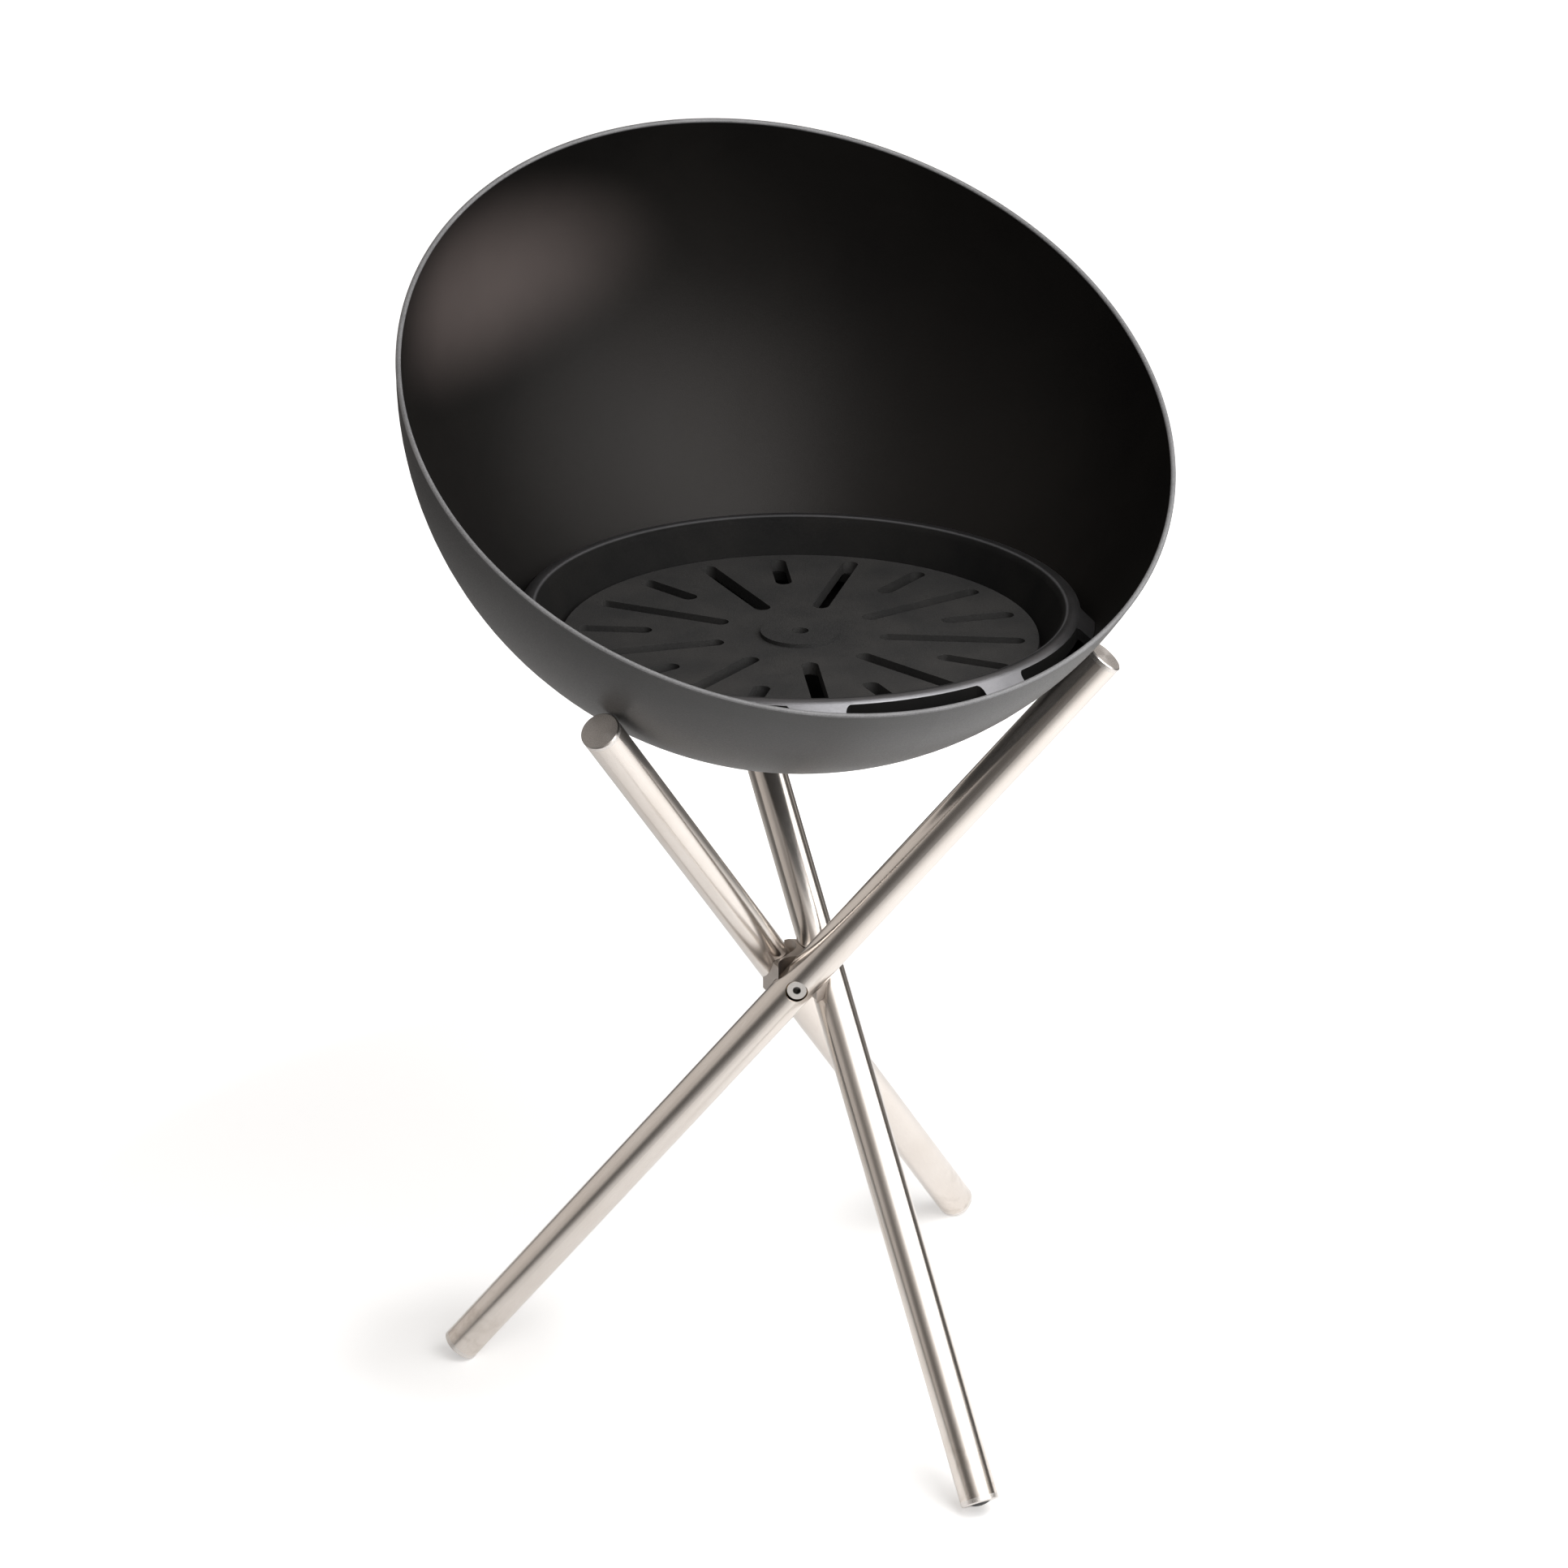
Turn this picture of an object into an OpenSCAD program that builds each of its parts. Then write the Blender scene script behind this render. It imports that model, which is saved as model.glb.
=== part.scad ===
// Tilting fire bowl on a folding three-rod tripod, in millimetres, +Z up.
// The origin is on the floor, under the point where the three rods cross.
// Leg 1 has its pivot screw towards -Y, and legs 2 and 3 follow every 120 degrees.

/* [Bowl] */
// Outside diameter of the spherical bowl
bowl_d = 560; // [520:5:600]
// Thickness of the bowl's sheet
bowl_wall = 3; // [2:0.5:4]
// How far the rim's plane lies below the centre of the sphere
rim_drop = 37; // [30:1:45]
// Thickness of the rounded bead along the rim
rim_bead = 3.6; // [3.4:0.1:4.4]
// Tilt of the bowl as it stands
bowl_tilt = 29.5; // [0:0.5:31]
// Compass direction of the rim's low side
bowl_facing = -61; // [-180:1:180]

/* [Tripod] */
// Outside diameter of a leg tube
tube_d = 28; // [26:0.5:32]
// Wall thickness of a leg tube
tube_wall = 3; // [2.5:0.5:3.5]
// Length of a leg from its pivot to its upper end
leg_up = 342; // [320:1:360]
// Length of a leg from its pivot to its foot
leg_down = 405; // [380:1:430]
// Lean of an open leg from the vertical
leg_lean = 39; // [36:0.5:40]
// Distance from the hub's axis to the middle of each tube
tube_offset = 20; // [20:0.25:21]
// Chamfer round the end face of a cap
end_chamfer = 0.8; // [0.5:0.1:1.5]
// Thickness of the part of a cap that shows
cap_h = 4; // [3:0.5:6]
// Length of a cap's spigot inside the tube
spigot_h = 9; // [6:1:14]
// Clearance between the bowl and the upper caps
bowl_clear = 0.3; // [0.2:0.05:0.5]

/* [Hub] */
// Height of the cast hub
hub_h = 31; // [28:1:36]
// Distance from the hub's axis to the flat face of a lobe
lobe_reach = 23.5; // [23:0.25:24]
// Chamfer along the top and bottom edges of a lobe
lobe_chamfer = 1.6; // [1:0.1:2.5]
// Clearance between a leg tube and its seat in the hub
seat_clear = 0.2; // [0.15:0.05:0.3]
// Distance from the hub's axis to the spot face under each pivot
spot_floor = 5.6; // [5.4:0.1:5.7]

/* [Pivots] */
// Diameter of the pivot screw's head
head_d = 14.6; // [14:0.1:15]
// Height of the pivot screw's head
head_h = 3; // [2.5:0.25:3.5]
// How far the head lies below the crest of the tube
head_sink = 3; // [2.5:0.25:3.5]
// Width across flats of the hexagon socket
socket_af = 5; // [4:1:6]
// Depth of the hexagon socket
socket_depth = 4; // [3:0.5:5]
// Diameter of the pivot screw's shoulder
shoulder_d = 8; // [8:0.5:9]
// Diameter of the pivot screw's thread
thread_d = 6; // [5:0.5:6]
// Diameter of the counterbore in the tube
counterbore_d = 16.4; // [16:0.1:17]
// Outside diameter of the pivot bush
bush_d = 16; // [15:0.1:16]
// Diameter of the bush's neck through the inner side of the tube
neck_d = 12; // [11:0.5:13]
// Radial running clearance of the shoulder in the bush
pivot_clear = 0.05; // [0.02:0.01:0.1]
// Thickness of the spring washer under the head
washer_h = 1; // [0.8:0.1:1.5]

/* [Feet] */
// Diameter of the round glide in a foot
glide_d = 15; // [12:0.5:18]
// Depth of the glide's seat in the foot cap
glide_seat = 2; // [1.5:0.25:3]
// How far the glide's dome stands out
glide_dome = 1.8; // [1:0.1:2.5]

/* [Fire ring] */
// Depth of the ring's crest below the centre of the sphere, as a share of the bowl's radius
ring_level = 0.61; // [0.6:0.0025:0.62]
// Distance from the crest out to the bowl's inner face
vent_w = 27; // [25:0.5:30]
// Cant of the ring as it lies loose in the bowl, with its front side up
ring_cant = 2.4; // [0:0.1:3]
// Radius of the rounded ridge
ridge_r = 8; // [7:0.25:9]
// Thickness of the ring's wall and skirt
ring_t = 6; // [5:0.25:7]
// Slope of the skirt that ends in the lugs
skirt_slope = 42; // [38:1:46]
// How far the wall under the ridge leans in from the vertical
wall_lean = 25; // [22:0.5:28]
// Depth of the ring from its crest to the underside of its ledge
ring_depth = 40; // [36:1:41]
// Thickness of the ledge under the grate
ledge_h = 6; // [5:0.5:7]
// Width of the ledge under the grate
ledge_w = 14; // [10:1:18]
// Number of lugs that reach the bowl's wall
lug_count = 9; // [6:1:12]
// Width of a lug
lug_w = 37; // [28:1:42]
// Strip of the skirt between the ridge and the vents
vent_edge = 0.65; // [0.5:0.05:1.5]
// Fillet where a lug leaves the ridge
lug_fillet = 5; // [3:0.5:6]
// Radius of a lug's outer corners
lug_round = 4; // [3:0.25:5]
// Compass direction of the first lug
lug_phase = -2.7; // [-20:0.1:20]
// Clearance between the lugs and the bowl's inner face
lug_clear = 0.5; // [0.4:0.05:0.8]

/* [Fire grate] */
// Thickness of the grate
grate_h = 9; // [7:0.5:11]
// Clearance round the grate
grate_clear = 1.5; // [1:0.25:3]
// Gap between the grate and its ledge
grate_seat = 0.3; // [0.2:0.05:0.5]
// Number of long slots
slot_count = 18; // [12:1:20]
// Width of a slot
slot_w = 12; // [9:0.5:13]
// Distance from the grate's axis to the inner end of a long slot
slot_in = 62; // [56:1:70]
// Distance from the grate's axis to the inner end of a short slot
short_in = 111; // [96:1:120]
// Width of the solid border round the grate
grate_border = 16; // [12:1:20]
// Diameter of the middle boss
boss_d = 56; // [44:1:60]
// Height of the middle boss above the grate
boss_h = 3; // [2:0.5:5]

/* [Hidden] */
$fn = 96;

// Colours
satin_steel = [0.78, 0.76, 0.73];
turned_steel = [0.86, 0.85, 0.83];
cast_steel = [0.52, 0.49, 0.45];
bronze = [0.66, 0.52, 0.33];
black_plastic = [0.10, 0.10, 0.10];
coated_black = [0.20, 0.21, 0.22];
cast_black = [0.15, 0.15, 0.15];

// Tripod
eps = 0.01;
cut = 1;
tube_r = tube_d / 2;
bore_r = tube_r - tube_wall;
spigot_chamfer = 1;
hub_z = leg_down * cos(leg_lean) + (tube_r - end_chamfer) * sin(leg_lean);

// Clearance between the sphere and an upper cap's edge, for a sphere centred h above the pivots
function cap_gap(h) =
  let (across = sqrt(pow(tube_offset, 2) + pow(h * sin(leg_lean), 2)) - tube_r)
  let (along = max(h * cos(leg_lean) - leg_up + end_chamfer, 0))
  sqrt(pow(across, 2) + pow(along, 2)) - bowl_d / 2;
// Height at which that clearance is bowl_clear, by halving the interval
function rest_height(low, high, steps) =
  let (mid = (low + high) / 2)
  steps == 0 ? mid
  : cap_gap(mid) < bowl_clear ? rest_height(mid, high, steps - 1)
  : rest_height(low, mid, steps - 1);
sphere_z = hub_z + rest_height(bowl_d / 2, 1.5 * bowl_d, 40);

// Bowl
outer_r = bowl_d / 2;
inner_r = outer_r - bowl_wall;
mid_r = (outer_r + inner_r) / 2;
rim_r = sqrt(pow(mid_r, 2) - pow(rim_drop, 2));

// Hub
seat_r = tube_r + seat_clear;
seat_len = 3 * hub_h;
sweep_clear = 0.05;
sweep_floor = tube_offset - seat_r - sweep_clear;
sweep_inset = 0.2;
sweep_from = neck_d / 3;
spot_d = neck_d + 0.8;
tip_gap = 0.4;
screw_tip = thread_d / 2 * tan(30) + tip_gap;

// Pivots, as distances from the hub's axis
crest = tube_offset + tube_r;
head_top = crest - head_sink;
head_under = head_top - head_h;
head_chamfer = 0.3;
washer_under = head_under - washer_h;
washer_d = head_d - 0.4;
washer_bore = shoulder_d + 0.3;
washer_gap = 0.1;
bush_foot = tube_offset - tube_r;
bush_gap = 0.1;
neck_top = tube_offset - sqrt(pow(bore_r, 2) - pow(bush_d / 2, 2)) + bush_gap;

// Ring, with depths measured down from its crest
ring_sink = ring_level * outer_r;
crest_r = sqrt(pow(inner_r, 2) - pow(ring_sink, 2)) - vent_w;
ledge_top = ring_depth - ledge_h;
ledge_in = wall_in(ledge_top) - ledge_w;

// Radius of the wall's inner face at a depth: a line that is tangent to the ridge
function wall_in(depth) = crest_r - (ridge_r - (ridge_r - depth) * sin(wall_lean)) / cos(wall_lean);

// Start of the skirt's upper face, from the sphere's centre, and its length down to the inner sphere
skirt_start = [crest_r + ridge_r * sin(skirt_slope), ridge_r * (cos(skirt_slope) - 1) - ring_sink];
skirt_dir = [cos(skirt_slope), -sin(skirt_slope)];
skirt_reach = inner_r - lug_clear;
skirt_along = skirt_start * skirt_dir;
skirt_l = sqrt(pow(skirt_along, 2) - skirt_start * skirt_start + pow(skirt_reach, 2)) - skirt_along;
lug_tip = skirt_start[0] + skirt_l * skirt_dir[0];
skirt_spare = 3;
vent_in = skirt_start[0] + vent_edge;
// How far the root fillets lap the circle of the vents' inner edge
fillet_bite = 0.2;

// Grate
grate_r = wall_in(ledge_top) - grate_clear;
slot_out = grate_r - grate_border;

// Frame of leg k: z runs up along the tube from its pivot, x points out along the pivot screw
module on_leg(k) {
  at_pivot(k) translate([tube_offset, 0, 0]) rotate([-leg_lean, 0, 0]) children();
}

// Frame of pivot k: x points out along the pivot screw from the hub's axis
module at_pivot(k) {
  translate([0, 0, hub_z]) rotate([0, 0, 120 * (k - 1) - 90]) children();
}

// A cylinder along x from one distance to another
module along_x(from, to, d) {
  translate([from, 0, 0]) rotate([0, 90, 0]) cylinder(d = d, h = to - from);
}

// Cast hub: a six-sided block from which the sweep of each tube, open to folded, is cut.
// What is left is three lobes whose edges are the stops of the open and the folded legs.
module hub() {
  block_r = lobe_reach / cos(30);
  top_r = (lobe_reach - lobe_chamfer) / cos(30);
  color(cast_steel) difference() {
    translate([0, 0, hub_z]) {
      translate([0, 0, -hub_h / 2 + lobe_chamfer])
        cylinder(r = block_r, h = hub_h - 2 * lobe_chamfer, $fn = 6);
      translate([0, 0, hub_h / 2 - lobe_chamfer])
        cylinder(r1 = block_r, r2 = top_r, h = lobe_chamfer, $fn = 6);
      translate([0, 0, -hub_h / 2])
        cylinder(r1 = top_r, r2 = block_r, h = lobe_chamfer, $fn = 6);
    }
    for (k = [1:3]) at_pivot(k) {
      along_x(spot_floor, 2 * lobe_reach, spot_d);
      along_x(screw_tip - tip_gap / 2, spot_floor + eps, thread_d);
      leg_sweep();
    }
  }
}

// All that a leg sweeps, in a pivot's frame: the tube folded, the tube open, and the wedge between
module leg_sweep() {
  for (lean = [0, leg_lean])
    translate([tube_offset, 0, 0]) rotate([-lean, 0, 0]) cylinder(r = seat_r, h = seat_len, center = true);
  for (turn = [0, 180])
    rotate([turn, 0, 0]) translate([sweep_floor, 0, 0]) rotate([90, 0, 90]) linear_extrude(lobe_reach)
      polygon([
        [sweep_inset, sweep_from],
        [sweep_from * tan(leg_lean) + sweep_inset, sweep_from],
        [hub_h * tan(leg_lean) - sweep_inset, hub_h],
        [sweep_inset, hub_h]
      ]);
}

// Shoulder screw with a flat head and a hexagon socket, threaded into the hub
module pivot_screw(k) {
  color(turned_steel) at_pivot(k) difference() {
    union() {
      along_x(screw_tip, spot_floor, thread_d);
      along_x(spot_floor, head_under + eps, shoulder_d);
      along_x(head_under, head_top - head_chamfer, head_d);
      translate([head_top - head_chamfer, 0, 0]) rotate([0, 90, 0])
        cylinder(d1 = head_d, d2 = head_d - 2 * head_chamfer, h = head_chamfer);
    }
    translate([head_top - socket_depth, 0, 0]) rotate([0, 90, 0])
      cylinder(d = socket_af / cos(30), h = socket_depth + cut, $fn = 6);
  }
}

// Spring washer between the head and the bush
module spring_washer(k) {
  color(turned_steel) at_pivot(k) difference() {
    along_x(washer_under + washer_gap, head_under, washer_d);
    along_x(washer_under, head_under + cut, washer_bore);
  }
}

// Bush in the tube that the screw's shoulder turns in
module pivot_bush(k) {
  color(bronze) at_pivot(k) difference() {
    union() {
      along_x(neck_top, washer_under, bush_d);
      along_x(bush_foot, neck_top + eps, neck_d);
    }
    along_x(bush_foot - cut, crest, shoulder_d + 2 * pivot_clear);
  }
}

// Leg tube with the counterbore on its outer side and the neck's hole on its inner side
module leg_tube(k) {
  color(satin_steel) on_leg(k) difference() {
    translate([0, 0, -leg_down + cap_h]) cylinder(r = tube_r, h = leg_up + leg_down - 2 * cap_h);
    translate([0, 0, -leg_down]) cylinder(r = bore_r, h = leg_up + leg_down);
    along_x(0, 2 * tube_r, counterbore_d);
    along_x(-2 * tube_r, 0, neck_d);
  }
}

// Turned cap: a chamfered disc at z = 0 and below it, and a spigot that closes the tube
module end_cap() {
  rotate_extrude() polygon([
    [0, 0],
    [tube_r - end_chamfer, 0],
    [tube_r, -end_chamfer],
    [tube_r, -cap_h],
    [bore_r, -cap_h],
    [bore_r, -cap_h - spigot_h + spigot_chamfer],
    [bore_r - spigot_chamfer, -cap_h - spigot_h],
    [0, -cap_h - spigot_h]
  ]);
}

module top_cap(k) {
  color(turned_steel) on_leg(k) translate([0, 0, leg_up]) end_cap();
}

// The foot's cap has a round seat for the glide
module foot_cap(k) {
  color(satin_steel) on_leg(k) translate([0, 0, -leg_down]) rotate([180, 0, 0]) difference() {
    end_cap();
    translate([0, 0, -glide_seat]) cylinder(d = glide_d, h = glide_seat + cut);
  }
}

// Glide: a plug with a shallow dome
module foot_glide(k) {
  dome_r = (pow(glide_d / 2, 2) + pow(glide_dome, 2)) / (2 * glide_dome);
  color(black_plastic) on_leg(k) translate([0, 0, -leg_down]) rotate([180, 0, 0]) intersection() {
    translate([0, 0, -glide_seat]) cylinder(d = glide_d, h = glide_seat + 2 * glide_dome);
    translate([0, 0, glide_dome - dome_r]) sphere(r = dome_r);
  }
}

// Frame of the ring and the grate: canted about the sphere's centre, with z = 0 at the crest
module in_bowl() {
  translate([0, 0, sphere_z]) rotate([-ring_cant, 0, 0]) translate([0, 0, -ring_sink]) children();
}

// Grate: a round casting with long and short slots and a middle boss
module fire_grate() {
  color(cast_black) in_bowl() translate([0, 0, grate_seat - ledge_top]) difference() {
    union() {
      cylinder(r = grate_r, h = grate_h);
      cylinder(d = boss_d, h = grate_h + boss_h);
    }
    for (i = [0:slot_count - 1]) rotate([0, 0, 360 * i / slot_count])
      round_slot(i % 2 == 0 ? slot_in : short_in, slot_out);
    translate([0, 0, -cut]) cylinder(d = slot_w, h = grate_h + boss_h + 2 * cut);
  }
}

// A slot with round ends along x, cut right through
module round_slot(from, to) {
  translate([0, 0, -cut]) linear_extrude(grate_h + 2 * cut) {
    translate([from, -slot_w / 2]) square([to - from, slot_w]);
    translate([from, 0]) circle(d = slot_w);
    translate([to, 0]) circle(d = slot_w);
  }
}

// Section of the ring: a round ridge, a skirt that falls from it to the inner sphere,
// and a wall that leans in from it to the ledge under the grate
module ring_section() {
  translate([crest_r, -ridge_r]) {
    circle(r = ridge_r);
    intersection() {
      rotate(-skirt_slope) translate([0, ridge_r - ring_t]) square([skirt_l + skirt_spare, ring_t]);
      translate([-crest_r, ring_sink + ridge_r]) circle(r = skirt_reach);
    }
  }
  polygon([
    [crest_r - ridge_r * cos(wall_lean), ridge_r * (sin(wall_lean) - 1)],
    [wall_in(ledge_top), -ledge_top],
    [ledge_in, -ledge_top],
    [ledge_in, -ring_depth],
    [wall_in(ring_depth) + ring_t / cos(wall_lean), -ring_depth],
    [wall_in(ridge_r) + ring_t / cos(wall_lean), -ridge_r]
  ]);
}

// One lug in plan: fillets at its root and rounded outer corners
module lug_plan() {
  fillet_x = sqrt(pow(vent_in + lug_fillet, 2) - pow(lug_w / 2 + lug_fillet, 2)) - fillet_bite;
  difference() {
    translate([crest_r, -lug_w / 2 - lug_fillet])
      square([fillet_x - crest_r, lug_w + 2 * lug_fillet]);
    for (side = [-1, 1])
      translate([fillet_x, side * (lug_w / 2 + lug_fillet)]) circle(r = lug_fillet);
  }
  translate([crest_r, -lug_w / 2]) square([lug_tip - lug_round - crest_r, lug_w]);
  translate([crest_r, lug_round - lug_w / 2]) square([lug_tip + cut - crest_r, lug_w - 2 * lug_round]);
  for (side = [-1, 1])
    translate([lug_tip - lug_round, side * (lug_w / 2 - lug_round)]) circle(r = lug_round);
}

// Cast ring that lies in the bowl: vents cut the skirt into lugs, which end on the bowl's inner face
module fire_ring() {
  color(cast_black) in_bowl() difference() {
    rotate_extrude() ring_section();
    translate([0, 0, -ring_depth]) linear_extrude(ring_depth + cut) difference() {
      circle(r = inner_r);
      circle(r = vent_in);
      for (i = [0:lug_count - 1]) rotate(lug_phase + 360 * i / lug_count) lug_plan();
    }
  }
}

// Bowl: a spherical shell with a bead along its rim, turned and tilted about its centre
module bowl_shell() {
  color(coated_black) translate([0, 0, sphere_z]) rotate([0, 0, bowl_facing])
    rotate([0, bowl_tilt, 0]) rotate_extrude($fn = 180) {
      intersection() {
        difference() {
          circle(r = outer_r);
          circle(r = inner_r);
        }
        translate([0, -outer_r - cut]) square([outer_r + cut, outer_r + cut - rim_drop]);
      }
      translate([rim_r, -rim_drop]) circle(d = rim_bead);
    }
}

hub();
for (k = [1:3]) {
  pivot_screw(k);
  spring_washer(k);
  leg_tube(k);
  top_cap(k);
  foot_cap(k);
  foot_glide(k);
  pivot_bush(k);
}
fire_grate();
fire_ring();
bowl_shell();
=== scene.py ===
# Tilting fire bowl on a folding three-rod tripod: materials, studio and camera.
import math

import bpy
from mathutils import Euler, Matrix, Vector


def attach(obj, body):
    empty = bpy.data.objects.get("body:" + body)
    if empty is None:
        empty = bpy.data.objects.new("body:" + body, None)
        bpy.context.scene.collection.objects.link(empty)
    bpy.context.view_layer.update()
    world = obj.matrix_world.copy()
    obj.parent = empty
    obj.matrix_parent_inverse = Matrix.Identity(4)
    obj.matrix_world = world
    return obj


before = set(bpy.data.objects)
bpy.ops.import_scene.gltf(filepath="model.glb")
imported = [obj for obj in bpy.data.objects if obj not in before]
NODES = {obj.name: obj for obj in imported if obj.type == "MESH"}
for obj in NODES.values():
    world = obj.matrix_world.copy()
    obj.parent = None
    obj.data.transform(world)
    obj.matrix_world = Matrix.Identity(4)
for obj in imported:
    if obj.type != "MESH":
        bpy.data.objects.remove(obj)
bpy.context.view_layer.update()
LEGS = (1, 2, 3)
Z_AXIS = Vector((0, 0, 1))

# The part's own sizes, in metres, as the CAD has them
HUB_Z = 0.3230511  # height of the three pivots
LEG_LEAN = math.radians(39)
LEG_OFFSET = 0.020  # from the stand's axis to each tube's axis
LEG_DOWN = 0.405  # from a pivot to the foot
SOCKET_R = (0.0029, 0.0031)  # where the pivot screw's socket ends and its face begins
SPHERE_Z = 0.7884260  # height of the bowl's centre
MID_R = 0.2785  # the middle of the bowl's wall
RIM_DROP = 0.037  # from the bowl's centre to the rim's plane, along the bowl's axis
BEAD_R = 0.0018  # half the thickness of the rim's bead
BOWL_TURN = Euler((0, math.radians(29.5), math.radians(-61)), "XYZ").to_matrix()
BOWL_AXIS = BOWL_TURN @ Z_AXIS
RING_ORIGIN = Vector((0, -0.00715, 0.61777))
RING_CANT = Euler((math.radians(-2.4), 0, 0), "XYZ")
SKIRT_R, SKIRT_DROP, SKIRT_SLOPE = 0.19635, 0.00206, 0.9  # the line of the ring's skirt

# Where the finish changes, in metres
FOOT_SPOTS_H = 0.09  # darker spots reach this far up a tube from its foot
WALL_HIGHLIGHT_CENTRE = Vector((-0.225, 0.135, 0.798))  # painted highlight on the bowl's inner wall
WALL_HIGHLIGHT_SHAPE = (0.75, 0.75, 1.5)  # wider than it is high
WALL_HIGHLIGHT_REACH = (0.01, 0.13)
SHADE_DEPTH = (0.0045, 0.0085)  # below the skirt's face, from bare iron to full painted shade
HIGHLIGHT_H = (-RIM_DROP - 0.0004, -RIM_DROP + 0.0009)  # up the bead, from plain coating to the full painted highlight
COVER_SKIN, COVER_SHIFT = 0.00007, 0.00005  # the cover's height over the bead, and inwards
COVER_STEPS, COVER_SIDES = 720, 24


# ---------------------------------------------------------------- node helpers
class Tree:
    """A node tree, with short calls for the nodes used here."""

    def __init__(self, node_tree):
        self.nodes, self.links = node_tree.nodes, node_tree.links

    def node(self, kind, **props):
        nd = self.nodes.new(kind)
        for key, value in props.items():
            setattr(nd, key, value)
        return nd

    def put(self, socket, value):
        if isinstance(value, bpy.types.NodeSocket):
            self.links.new(value, socket)
        else:
            socket.default_value = value

    def split(self, vector):
        nd = self.node("ShaderNodeSeparateXYZ")
        self.put(nd.inputs[0], vector)
        return tuple(nd.outputs)

    def vmath(self, op, a, b=None, scale=None):
        nd = self.node("ShaderNodeVectorMath", operation=op)
        self.put(nd.inputs[0], a)
        if b is not None:
            self.put(nd.inputs[1], b)
        if scale is not None:
            self.put(nd.inputs["Scale"], scale)
        return nd.outputs["Value" if op in ("LENGTH", "DOT_PRODUCT", "DISTANCE") else "Vector"]

    def math(self, op, a, b=0.0):
        nd = self.node("ShaderNodeMath", operation=op)
        self.put(nd.inputs[0], a)
        self.put(nd.inputs[1], b)
        return nd.outputs[0]

    def radius(self, x, y):
        """How far a point lies from the z axis."""
        return self.math(
            "SQRT", self.math("ADD", self.math("MULTIPLY", x, x), self.math("MULTIPLY", y, y))
        )

    def noise(self, vector, scale, detail=2.0, rough=0.5, distortion=0.0):
        """Noise about 0.5. The scale is in periods per metre."""
        nd = self.node("ShaderNodeTexNoise")
        self.put(nd.inputs["Vector"], vector)
        self.put(nd.inputs["Scale"], scale)
        self.put(nd.inputs["Detail"], detail)
        self.put(nd.inputs["Roughness"], rough)
        self.put(nd.inputs["Distortion"], distortion)
        return nd.outputs["Fac"]

    def span(self, value, lo, hi, to_lo, to_hi, smooth=False):
        """The value from lo to hi as one from to_lo to to_hi, held at both ends."""
        shape = "SMOOTHSTEP" if smooth else "LINEAR"
        nd = self.node("ShaderNodeMapRange", interpolation_type=shape)
        self.put(nd.inputs["Value"], value)
        for key, v in (("From Min", lo), ("From Max", hi), ("To Min", to_lo), ("To Max", to_hi)):
            self.put(nd.inputs[key], v)
        return nd.outputs["Result"]

    def mix(self, fac, a, b):
        nd = self.node("ShaderNodeMix", data_type="RGBA", clamp_factor=True)
        self.put(nd.inputs[0], fac)
        self.put(nd.inputs[6], a)
        self.put(nd.inputs[7], b)
        return nd.outputs[2]

    def shade(self, value, lo, hi, a, b, most=1.0):
        """Colour a where the value is under lo, going to b, or part of the way, at hi."""
        return self.mix(self.span(value, lo, hi, 0.0, most), a, b)

    def bump(self, height, strength, distance):
        nd = self.node("ShaderNodeBump")
        self.put(nd.inputs["Height"], height)
        self.put(nd.inputs["Strength"], strength)
        self.put(nd.inputs["Distance"], distance)
        return nd.outputs["Normal"]


class Finish(Tree):
    """A material that works in its piece's own coordinates, which are the frame's at rest."""

    def __init__(self, name):
        self.mat = bpy.data.materials.new(name)
        self.mat.use_nodes = True
        super().__init__(self.mat.node_tree)
        self.tex = self.node("ShaderNodeTexCoord")
        self.co = self.tex.outputs["Object"]

    def set(self, **values):
        shader = self.nodes["Principled BSDF"]
        for key, value in values.items():
            self.put(shader.inputs[key.replace("_", " ")], value)
        return self.mat

    def local(self, origin, rot):
        """The coordinates in a frame of its own."""
        nd = self.node("ShaderNodeMapping", vector_type="TEXTURE")
        self.put(nd.inputs["Vector"], self.co)
        self.put(nd.inputs["Location"], origin)
        self.put(nd.inputs["Rotation"], rot)
        return nd.outputs["Vector"]

    def to_world(self, direction):
        nd = self.node(
            "ShaderNodeVectorTransform",
            vector_type="VECTOR", convert_from="OBJECT", convert_to="WORLD",
        )
        self.put(nd.inputs[0], direction)
        return self.vmath("NORMALIZE", nd.outputs[0])

    def lengthways(self, axis):
        """Steel ground round its girth spreads a highlight along its axis."""
        return self.to_world(tuple(axis))

    def outwards(self, origin, axis):
        """A face turned in rings spreads a highlight outwards from its centre."""
        arm = self.vmath("SUBTRACT", self.co, tuple(origin))
        depth = self.vmath("DOT_PRODUCT", arm, tuple(axis))
        along = self.vmath("SCALE", tuple(axis), scale=depth)
        return self.to_world(self.vmath("SUBTRACT", arm, along))

    def turned_grain(self, loc, stretch):
        """Coordinates in which noise makes rings round the local z axis, with radius and z."""
        x, y, z = self.split(loc)
        radius = self.radius(x, y)
        comb = self.node("ShaderNodeCombineXYZ")
        self.put(comb.inputs[0], self.math("ADD", z, radius))
        self.put(comb.inputs[1], self.math("MULTIPLY", x, stretch))
        self.put(comb.inputs[2], self.math("MULTIPLY", y, stretch))
        return comb.outputs[0], radius, z

    def blend(self, a, share_a, b, share_b):
        return self.math(
            "ADD", self.math("MULTIPLY", a, share_a), self.math("MULTIPLY", b, share_b)
        )


def rgb(r, g, b):
    return (r, g, b, 1.0)


WHITE = rgb(1, 1, 1)


def leg_turn(k):
    """The direction of leg k's pivot screw, as a turn round the stand's axis."""
    return math.radians(120 * (k - 1) - 90)


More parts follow.
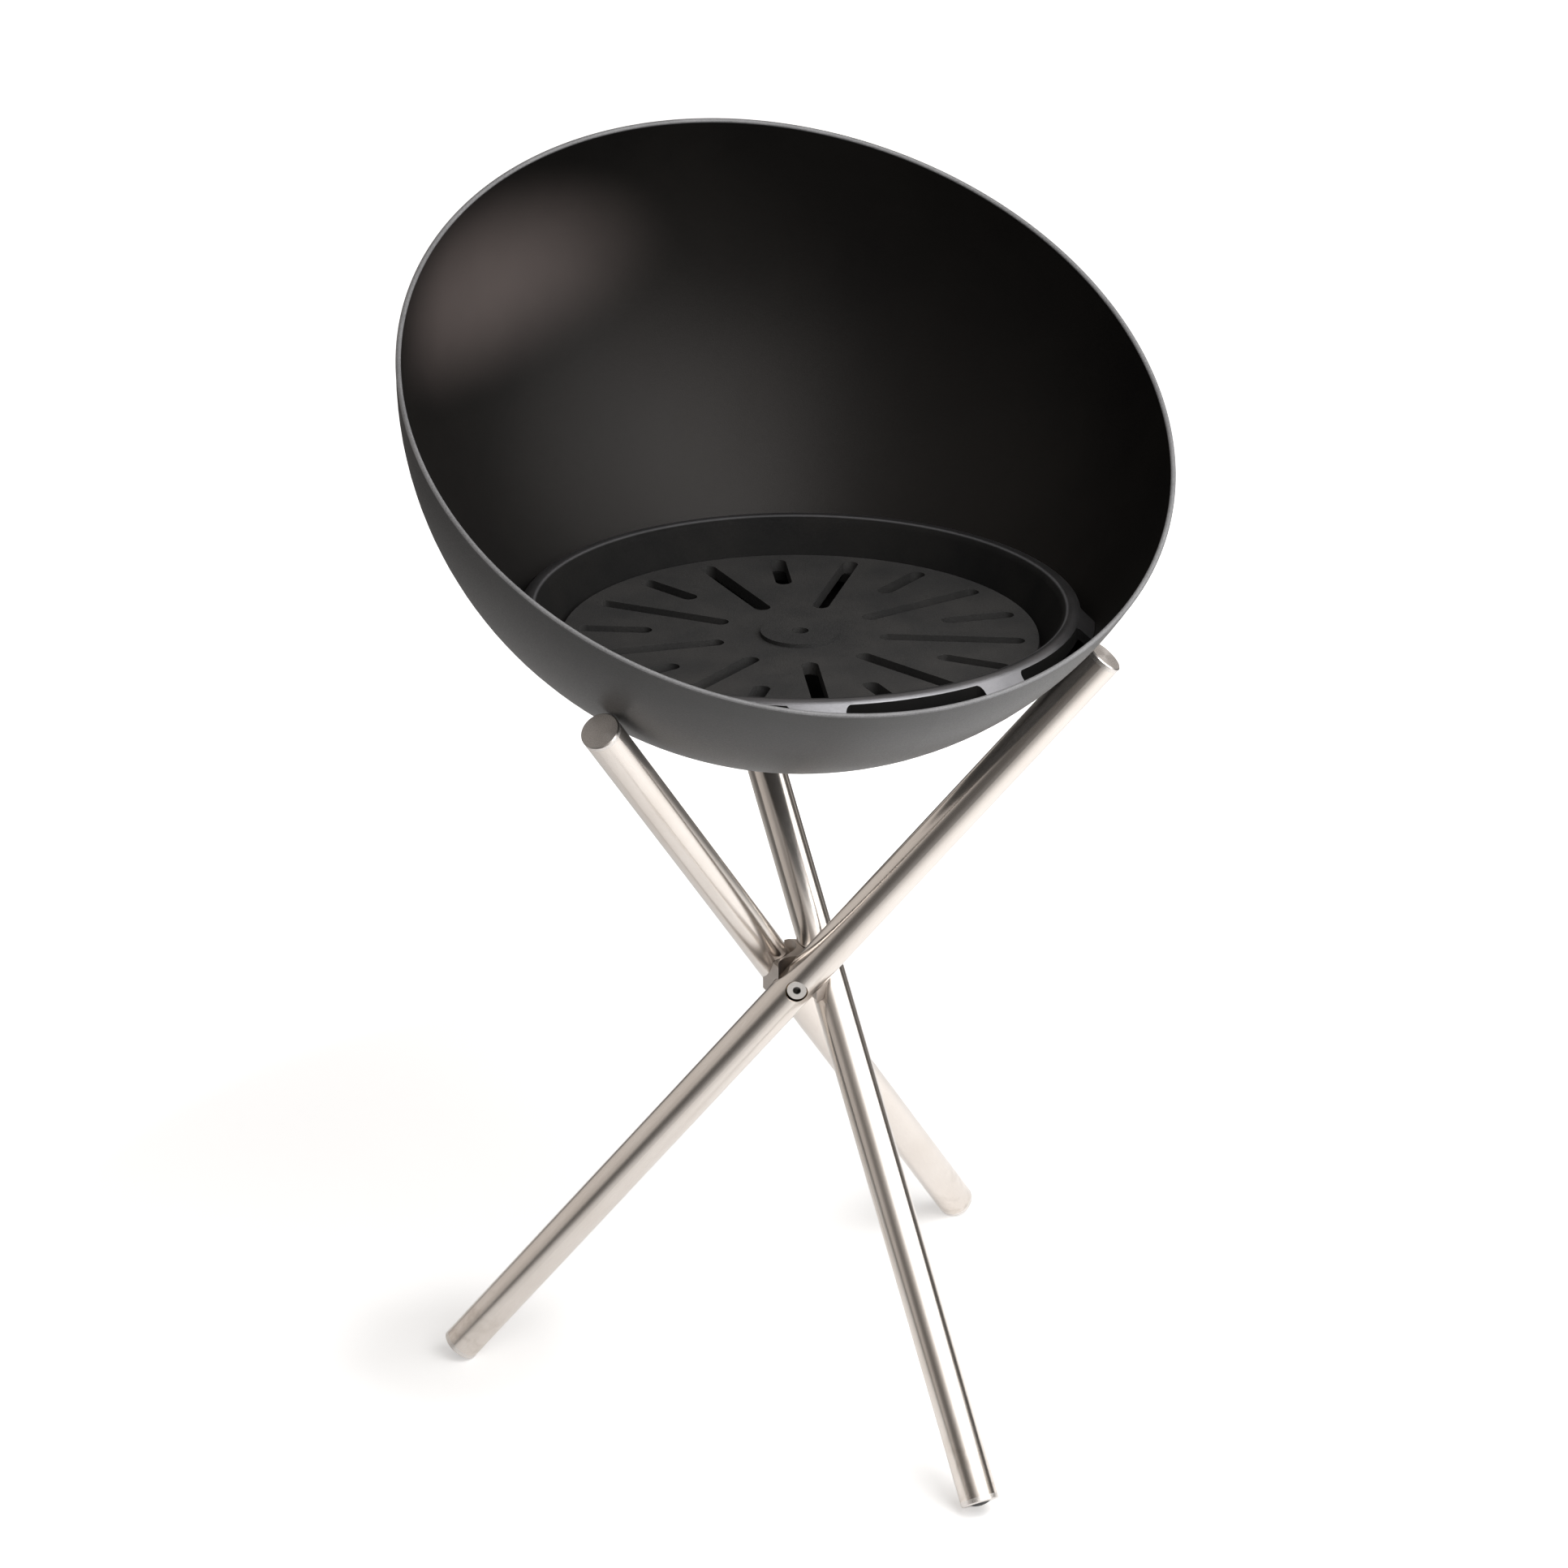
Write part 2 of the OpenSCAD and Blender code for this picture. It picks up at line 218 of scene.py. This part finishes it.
def leg_frame(k):
    """Origin and rotation of leg k's own frame: z up the tube, x out along the screw."""
    turn = leg_turn(k)
    rot = Euler((-LEG_LEAN, 0, turn), "XYZ")
    origin = Vector((LEG_OFFSET * math.cos(turn), LEG_OFFSET * math.sin(turn), HUB_Z))
    return origin, rot


# ---------------------------------------------------------------- materials
def brushed_tube(k):
    """Stainless tube ground round its girth, with faint handling marks and darker spots towards the
    foot.
    """
    t = Finish(f"brushed_tube_{k}")
    origin, rot = leg_frame(k)
    loc = t.local(origin, rot)
    grain_co, _, z = t.turned_grain(loc, 12.0)
    fine = t.noise(grain_co, 1500.0, 3.0, 0.65)
    broad = t.noise(grain_co, 160.0, 3.0, 0.6)
    cloud = t.noise(loc, 14.0, 3.0, 0.55)
    smear = t.noise(loc, 48.0, 4.0, 0.6, 0.6)
    grain = t.blend(fine, 0.6, broad, 0.4)
    # Darker spots towards the foot, fading out further up the tube.
    foot = t.span(z, -LEG_DOWN, -LEG_DOWN + FOOT_SPOTS_H, 1.0, 0.0, True)
    spots = t.math("MULTIPLY", t.span(smear, 0.5, 0.66, 0.0, 0.4), foot)
    steel = t.shade(grain, 0.3, 0.7, rgb(0.68, 0.63, 0.585), rgb(0.80, 0.755, 0.715))
    steel = t.shade(cloud, 0.35, 0.7, steel, rgb(0.62, 0.555, 0.495), most=0.35)
    steel = t.mix(spots, steel, rgb(0.43, 0.37, 0.31))
    polish, marks = t.span(grain, 0.3, 0.7, 0.15, 0.175), t.span(smear, 0.45, 0.7, 0.0, 0.02)
    return t.set(
        Base_Color=steel, Metallic=1.0, Roughness=t.math("ADD", polish, marks),
        Normal=t.bump(fine, 0.15, 0.00006),
        Anisotropic=0.6, Tangent=t.lengthways(rot.to_matrix() @ Z_AXIS),
    )


def turned_end(k, name):
    """Cap whose face is turned with fine rings, which gives two light fans across it."""
    t = Finish(f"turned_{name}_{k}")
    origin, rot = leg_frame(k)
    grain_co, _, _ = t.turned_grain(t.local(origin, rot), 8.0)
    fine = t.noise(grain_co, 1900.0, 2.0, 0.6)
    rings = t.noise(grain_co, 420.0, 2.0, 0.5)
    grain = t.blend(fine, 0.5, rings, 0.5)
    return t.set(
        Base_Color=t.shade(grain, 0.3, 0.7, rgb(0.64, 0.60, 0.57), rgb(0.82, 0.79, 0.76)),
        Metallic=1.0, Roughness=t.span(grain, 0.3, 0.7, 0.24, 0.34),
        Normal=t.bump(grain, 0.35, 0.00012),
        Anisotropic=0.8, Tangent=t.outwards(origin, rot.to_matrix() @ Z_AXIS),
    )


def cast_hub():
    """Bead-blasted investment casting: dull, warm grey, finely pitted."""
    t = Finish("cast_hub")
    grit = t.noise(t.co, 2200.0, 2.0, 0.6)
    skin = t.noise(t.co, 420.0, 3.0, 0.55)
    tone = t.noise(t.co, 60.0, 2.0, 0.5)
    steel = t.shade(tone, 0.35, 0.65, rgb(0.47, 0.425, 0.39), rgb(0.56, 0.51, 0.47))
    return t.set(
        Base_Color=t.shade(grit, 0.55, 0.72, steel, rgb(0.32, 0.29, 0.265), most=0.5),
        Metallic=1.0, Roughness=t.span(skin, 0.3, 0.7, 0.34, 0.44),
        Normal=t.bump(t.math("ADD", grit, skin), 0.4, 0.0001),
    )


def pivot_steel(k):
    """Screw and washer: turned and lightly polished, with painted shade in the socket."""
    t = Finish(f"pivot_steel_{k}")
    turn = leg_turn(k)
    axis = Vector((math.cos(turn), math.sin(turn), 0))
    origin = Vector((0, 0, HUB_Z))
    loc = t.local(origin, Euler((0, math.radians(90), turn), "XYZ"))
    grain_co, radius, _ = t.turned_grain(loc, 30.0)
    fine = t.noise(grain_co, 2400.0, 2.0, 0.6)
    haze = t.noise(loc, 260.0, 2.0, 0.5)
    steel = t.shade(fine, 0.35, 0.65, rgb(0.80, 0.765, 0.735), rgb(0.88, 0.85, 0.82))
    # Painted shade: the socket is coloured near black, as if in shadow.
    socket = t.span(radius, *SOCKET_R, 0.9, 0.0)
    polish, dull = t.span(fine, 0.35, 0.65, 0.20, 0.26), t.span(haze, 0.4, 0.7, 0.0, 0.05)
    return t.set(
        Base_Color=t.mix(socket, steel, rgb(0.06, 0.057, 0.054)),
        Metallic=1.0, Roughness=t.math("ADD", polish, dull),
        Normal=t.bump(fine, 0.2, 0.00006),
        Anisotropic=0.3, Tangent=t.outwards(origin, axis),
    )


def bowl_coating():
    """Fine-textured matte coating: anthracite outside, darker and duller inside, with a painted
    highlight on the inner wall.
    """
    t = Finish("bowl_coating")
    depth = t.vmath("LENGTH", t.vmath("SUBTRACT", t.co, (0, 0, SPHERE_Z)))
    outside = t.span(depth, MID_R - 0.0006, MID_R + 0.0006, 0.0, 1.0)
    peel = t.noise(t.co, 900.0, 2.0, 0.55)
    grit = t.noise(t.co, 2600.0, 2.0, 0.6)
    tone = t.noise(t.co, 9.0, 3.0, 0.5)
    dark_mottle = t.noise(t.co, 5.0, 4.0, 0.6, 0.4)
    coat = t.shade(tone, 0.35, 0.65, rgb(0.020, 0.0203, 0.021), rgb(0.026, 0.0263, 0.027))
    coat = t.shade(grit, 0.58, 0.75, coat, rgb(0.040, 0.0405, 0.042), most=0.35)
    # Painted highlight: a pale warm patch on the inner wall, coloured where light would catch it.
    arm = t.vmath("MULTIPLY", t.vmath("SUBTRACT", t.co, tuple(WALL_HIGHLIGHT_CENTRE)), WALL_HIGHLIGHT_SHAPE)
    wall_highlight = t.math(
        "MULTIPLY", t.span(t.vmath("LENGTH", arm), *WALL_HIGHLIGHT_REACH, 1.0, 0.0, True),
        t.span(dark_mottle, 0.3, 0.7, 0.75, 1.0),
    )
    burnt = t.shade(dark_mottle, 0.35, 0.65, rgb(0.0030, 0.0028, 0.0027), rgb(0.0052, 0.0047, 0.0042))
    burnt = t.mix(wall_highlight, burnt, rgb(0.095, 0.079, 0.075))
    rough = t.node("ShaderNodeMix", data_type="FLOAT")
    t.put(rough.inputs[0], outside)
    t.put(rough.inputs[2], t.span(dark_mottle, 0.3, 0.7, 0.40, 0.48))
    t.put(rough.inputs[3], t.span(peel, 0.3, 0.7, 0.37, 0.46))
    return t.set(
        Base_Color=t.mix(outside, burnt, coat), Roughness=rough.outputs[0],
        Normal=t.bump(t.blend(peel, 1.0, grit, 0.5), 0.35, 0.00016),
        Specular_Tint=t.mix(outside, rgb(0.42, 0.40, 0.39), WHITE),
    )


def rim_painted_highlight():
    """The coating on the rim's bead, with a painted highlight along its top, in patches."""
    t = Finish("rim_painted_highlight")
    peel = t.noise(t.co, 900.0, 2.0, 0.55)
    tone = t.noise(t.co, 30.0, 3.0, 0.55)
    arm = t.vmath("SUBTRACT", t.co, (0, 0, SPHERE_Z))
    height = t.vmath("DOT_PRODUCT", arm, tuple(BOWL_AXIS))
    patchy = t.math("MULTIPLY", t.span(peel, 0.3, 0.6, 0.7, 1.0), t.span(tone, 0.3, 0.7, 0.7, 1.0))
    # Painted highlight: the bead's top is coloured light, as if catching the light.
    top_highlight = t.math("MULTIPLY", t.span(height, *HIGHLIGHT_H, 0.0, 1.0, True), patchy)
    return t.set(
        Base_Color=t.mix(top_highlight, rgb(0.022, 0.0223, 0.023), rgb(0.20, 0.20, 0.205)),
        Roughness=t.span(peel, 0.3, 0.7, 0.40, 0.50), Normal=t.bump(peel, 0.3, 0.00012),
    )


def sand_skin(t):
    """Noises for the skin that a sand mould leaves on cast iron: sand, grit and tone."""
    sand = t.noise(t.co, 700.0, 3.0, 0.6)
    grit = t.noise(t.co, 1900.0, 2.0, 0.6)
    tone = t.noise(t.co, 22.0, 3.0, 0.55)
    return sand, grit, tone


def fire_ring():
    """Bare cast iron: satin on ridge and lugs, with painted shade in near black on their steep edges
    and below the skirt.
    """
    t = Finish("fire_ring")
    sand, grit, tone = sand_skin(t)
    x, y, z = t.split(t.local(RING_ORIGIN, RING_CANT))
    rise = t.math("MULTIPLY", t.math("SUBTRACT", SKIRT_R, t.radius(x, y)), SKIRT_SLOPE)
    below = t.math("SUBTRACT", rise, t.math("ADD", z, SKIRT_DROP))
    _, _, facing_up = t.split(t.tex.outputs["Normal"])
    steep = t.span(facing_up, 0.30, 0.62, 1.0, 0.0, True)
    # Painted shade: steep faces and the wall below the skirt are coloured near black, dull and not
    # metallic, as if in shadow.
    painted_shade = t.math("MAXIMUM", steep, t.span(below, *SHADE_DEPTH, 0.0, 1.0, True))
    iron = t.shade(tone, 0.35, 0.65, rgb(0.165, 0.165, 0.172), rgb(0.205, 0.203, 0.212))
    iron = t.shade(grit, 0.56, 0.74, iron, rgb(0.12, 0.12, 0.126), most=0.4)
    dark_mottle = t.shade(tone, 0.35, 0.65, rgb(0.002, 0.002, 0.002), rgb(0.005, 0.0046, 0.0042))
    satin = t.span(sand, 0.3, 0.7, 0.34, 0.42)
    return t.set(
        Base_Color=t.mix(painted_shade, iron, dark_mottle), Metallic=t.span(painted_shade, 0.0, 1.0, 1.0, 0.0),
        Roughness=t.math("ADD", satin, t.math("MULTIPLY", painted_shade, 0.4)),
        Normal=t.bump(t.blend(sand, 1.0, grit, 0.5), 0.5, 0.00012), Specular_IOR_Level=0.2,
    )


def fire_grate():
    """Cast iron dulled by the fire."""
    t = Finish("fire_grate")
    sand, grit, tone = sand_skin(t)
    iron = t.shade(tone, 0.35, 0.65, rgb(0.016, 0.016, 0.016), rgb(0.026, 0.025, 0.024))
    return t.set(
        Base_Color=t.shade(grit, 0.56, 0.74, iron, rgb(0.0416, 0.040, 0.0384), most=0.4),
        Roughness=t.span(sand, 0.3, 0.7, 0.55, 0.75),
        Normal=t.bump(t.blend(sand, 1.0, grit, 0.5), 0.5, 0.0003),
    )


def small_piece(name, dark, light, rough, metallic):
    """Small plain piece with fine moulding or turning marks."""
    t = Finish(name)
    fine = t.noise(t.co, 1800.0, 2.0, 0.6)
    tone = t.noise(t.co, 150.0, 2.0, 0.5)
    return t.set(
        Base_Color=t.shade(tone, 0.35, 0.65, rgb(*dark), rgb(*light)), Metallic=metallic,
        Roughness=t.span(fine, 0.3, 0.7, *rough), Normal=t.bump(fine, 0.3, 0.0001),
    )


def dress(node, mat):
    slots = NODES[node].data.materials
    slots.clear()
    slots.append(mat)


glide_mat = small_piece("glide_plastic", (0.018,) * 3, (0.0225,) * 3, (0.49, 0.61), 0.0)
bush_mat = small_piece("bush_bronze", (0.42, 0.29, 0.15), (0.525, 0.3625, 0.1875), (0.26, 0.38), 1.0)
dress("hub", cast_hub())
for k in LEGS:
    dress(f"leg_tube_{k}", brushed_tube(k))
    dress(f"top_cap_{k}", turned_end(k, "top"))
    dress(f"foot_cap_{k}", turned_end(k, "foot"))
    dress(f"foot_glide_{k}", glide_mat)
    dress(f"pivot_bush_{k}", bush_mat)
    screw = pivot_steel(k)
    dress(f"pivot_screw_{k}", screw)
    dress(f"spring_washer_{k}", screw)
dress("fire_ring", fire_ring())
dress("fire_grate", fire_grate())
dress("bowl_shell", bowl_coating())


# ---------------------------------------------------------------- rim
def rim_cover():
    """The finish on the bowl's rim bead: a smooth skin over it, which carries the painted highlight.
    """
    ring_r = math.sqrt(MID_R ** 2 - RIM_DROP ** 2) - COVER_SHIFT
    skin_r = BEAD_R + COVER_SKIN
    place = Matrix.Translation((0, 0, SPHERE_Z)) @ BOWL_TURN.to_4x4()
    verts, faces = [], []
    for i in range(COVER_STEPS):
        a = 2 * math.pi * i / COVER_STEPS
        for j in range(COVER_SIDES):
            b = 2 * math.pi * j / COVER_SIDES
            r = ring_r + skin_r * math.cos(b)
            z = -RIM_DROP + skin_r * math.sin(b)
            verts.append(place @ Vector((r * math.cos(a), r * math.sin(a), z)))
    for i in range(COVER_STEPS):
        here, there = i * COVER_SIDES, (i + 1) % COVER_STEPS * COVER_SIDES
        for j in range(COVER_SIDES):
            m = (j + 1) % COVER_SIDES
            faces.append((here + j, there + j, there + m, here + m))
    mesh = bpy.data.meshes.new("rim_cover")
    mesh.from_pydata(verts, [], faces)
    mesh.polygons.foreach_set("use_smooth", [True] * len(faces))
    mesh.update()
    mesh.materials.append(rim_painted_highlight())
    o = bpy.data.objects.new("rim_cover", mesh)
    bpy.context.scene.collection.objects.link(o)
    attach(o, "bowl")


rim_cover()

# ---------------------------------------------------------------- floor
FLOOR_SIZE = 60
PAPER = (0.85, 0.85, 0.85)
GLOW_CENTRE, GLOW_SHAPE = (0.5, 0.25, 0.0), (0.7, 1.1, 1.0)


def paper():
    """White paper. The lamps stand close on the right; in the steel's reflections the paper also has
    painted light, a glow brightest there that dims away from it. The camera sees it white, with the
    object's shadow kept round the feet. From below it is clear."""
    t = Finish("floor")
    path = t.node("ShaderNodeLightPath")
    seen, mirrored = path.outputs["Is Camera Ray"], path.outputs["Is Glossy Ray"]

    from_glow = t.vmath("SUBTRACT", t.co, GLOW_CENTRE)
    to_glow = t.vmath("LENGTH", t.vmath("MULTIPLY", from_glow, GLOW_SHAPE))
    # Painted light: in reflections only, the paper glows near the lamps and is dimmed far from them.
    mirror_glow = t.math("MULTIPLY", mirrored, t.span(to_glow, 0.0, 1.3, 0.42, 0.0, True))
    mirror_dim = t.math("MULTIPLY", mirrored, t.span(to_glow, 0.4, 1.7, 0.0, 0.65, True))

    feet = []
    for k in LEGS:
        origin, rot = leg_frame(k)
        foot = origin - LEG_DOWN * (rot.to_matrix() @ Z_AXIS)
        feet.append(t.vmath("DISTANCE", t.co, tuple(foot)))
    to_foot = t.math("MINIMUM", feet[0], t.math("MINIMUM", feet[1], feet[2]))
    near_feet = t.span(to_foot, 0.05, 0.14, 0.34, 0.54, True)
    far_off = t.span(t.vmath("LENGTH", t.co), 0.45, 0.85, 0.34, 0.80, True)
    seen_glow = t.math("MULTIPLY", seen, t.math("MAXIMUM", near_feet, far_off))

    diffuse = t.node("ShaderNodeBsdfDiffuse")
    share = t.math("SUBTRACT", 1.0, mirror_dim)
    t.put(diffuse.inputs["Color"], t.vmath("SCALE", PAPER, scale=share))
    glow = t.node("ShaderNodeEmission")
    t.put(glow.inputs["Strength"], t.math("ADD", seen_glow, mirror_glow))
    both = t.node("ShaderNodeAddShader")
    t.put(both.inputs[0], diffuse.outputs[0])
    t.put(both.inputs[1], glow.outputs[0])
    side = t.node("ShaderNodeMixShader")
    t.put(side.inputs[0], t.node("ShaderNodeNewGeometry").outputs["Backfacing"])
    t.put(side.inputs[1], both.outputs[0])
    t.put(side.inputs[2], t.node("ShaderNodeBsdfTransparent").outputs[0])
    t.put(t.nodes["Material Output"].inputs["Surface"], side.outputs[0])
    return t.mat


bpy.ops.mesh.primitive_plane_add(size=FLOOR_SIZE, location=(0, 0, 0))
floor = bpy.context.object
floor.name = "floor"
floor.data.materials.append(paper())

# ---------------------------------------------------------------- light
LAMP_AIM = Vector((0, 0, 0.45))
WALL_TINT = (1.03, 0.97, 0.92)
MIN_SOFT = 1e-3


def toward(azimuth, elevation):
    az, el = math.radians(azimuth), math.radians(elevation)
    return Vector((math.cos(el) * math.cos(az), math.cos(el) * math.sin(az), math.sin(el)))


class Sky(Tree):
    """The studio's walls, which only the object sees: dim and even, dimmer overhead, with a
    dark gap in front on the left, another behind on the right and a lighter left side."""

    def __init__(self, world):
        super().__init__(world.node_tree)
        self.direction = self.node("ShaderNodeTexCoord").outputs["Generated"]

    def patch(self, azimuth, elevation, inner, outer, amount):
        """A round patch of the walls, full within inner degrees and gone beyond outer."""
        near = self.vmath("DOT_PRODUCT", self.direction, tuple(toward(azimuth, elevation)))
        lo, hi = math.cos(math.radians(outer)), math.cos(math.radians(inner))
        return self.math("MULTIPLY", self.span(near, lo, hi, 0.0, 1.0, True), amount)

    def hang(self):
        _, _, up_part = self.split(self.direction)
        walls = self.span(up_part, 0.45, 0.85, 0.52, 0.30, True)
        walls = self.math("SUBTRACT", walls, self.patch(-121, 10, 9, 28, 0.40))
        walls = self.math("SUBTRACT", walls, self.patch(27, 11, 6, 22, 0.42))
        walls = self.math("ADD", walls, self.patch(168, 8, 10, 40, 0.16))
        seen = self.node("ShaderNodeLightPath").outputs["Is Camera Ray"]
        color = self.mix(seen, self.vmath("SCALE", WALL_TINT, scale=walls), WHITE)
        back = self.nodes["Background"]
        self.put(back.inputs["Color"], color)
        self.put(back.inputs["Strength"], 1.0)


class Gel(Tree):
    """A lamp's own nodes: its face dims softly towards its left and right edges."""

    def __init__(self, data, left, right):
        data.use_nodes = True
        super().__init__(data.node_tree)
        face = self.node("ShaderNodeNewGeometry").outputs["Parametric"]
        across, _, _ = self.split(face)
        rise = self.span(across, 0.0, max(left, MIN_SOFT), 0.0, 1.0, True)
        fall = self.span(across, 1.0 - max(right, MIN_SOFT), 1.0, 1.0, 0.0, True)
        self.put(self.nodes["Emission"].inputs["Strength"], self.math("MULTIPLY", rise, fall))


def lamp(name, azimuth, elevation, distance, size, radiance, soft):
    """A soft rectangular lamp that faces the stand, given by how bright its face is."""
    data = bpy.data.lights.new(name, "AREA")
    data.shape = "RECTANGLE"
    data.size, data.size_y = size
    data.energy = math.pi * radiance * size[0] * size[1]
    Gel(data, *soft)
    o = bpy.data.objects.new(name, data)
    o.location = LAMP_AIM + distance * toward(azimuth, elevation)
    o.rotation_mode = "QUATERNION"
    o.rotation_quaternion = (LAMP_AIM - o.location).to_track_quat("-Z", "Y")
    o.visible_camera = False
    bpy.context.scene.collection.objects.link(o)


world = bpy.data.worlds.new("studio")
bpy.context.scene.world = world
world.use_nodes = True
Sky(world).hang()
lamp("softbox_front", -73, 40, 1.9, size=(2.2, 1.3), radiance=3.0, soft=(0.9, 0.1))
lamp("softbox_right", -11, 33, 1.1, size=(1.4, 1.1), radiance=2.1, soft=(0.1, 0.15))
lamp("top", -38, 67, 2.0, size=(1.5, 1.0), radiance=4.0, soft=(0.2, 0.2))

# ---------------------------------------------------------------- camera
# The photograph's view, worked out from the tripod, in its square frame of 1932 pixels
FOCAL_PX = 6172.65
FRAME_PX = 1932
SENSOR = 36.0
DISTANCE = 3.59406
ELEVATION = 0.426628070
AIM = Vector((-0.0117491, 0.0, 0.150293013 + HUB_Z))
ROLL = 0.00236001
TURN = Matrix.Rotation(-1.63928629 + math.pi / 2, 3, "Z").inverted()

forward = Vector((0, math.cos(ELEVATION), -math.sin(ELEVATION)))
right = Vector((1, 0, 0))
up = right.cross(forward)
place = AIM - DISTANCE * forward
c, s = math.cos(ROLL), math.sin(ROLL)
right, up = c * right + s * up, c * up - s * right
spin = Matrix((TURN @ right, TURN @ up, -(TURN @ forward))).transposed()
cam_data = bpy.data.cameras.new("camera")
cam_data.sensor_fit = "HORIZONTAL"
cam_data.sensor_width = SENSOR
cam_data.lens = FOCAL_PX / FRAME_PX * SENSOR
cam_data.clip_start, cam_data.clip_end = 0.1, 100.0
camera = bpy.data.objects.new("camera", cam_data)
camera.matrix_world = Matrix.Translation(TURN @ place) @ spin.to_4x4()
bpy.context.scene.collection.objects.link(camera)
bpy.context.scene.camera = camera
bpy.context.scene.view_settings.view_transform = "Standard"
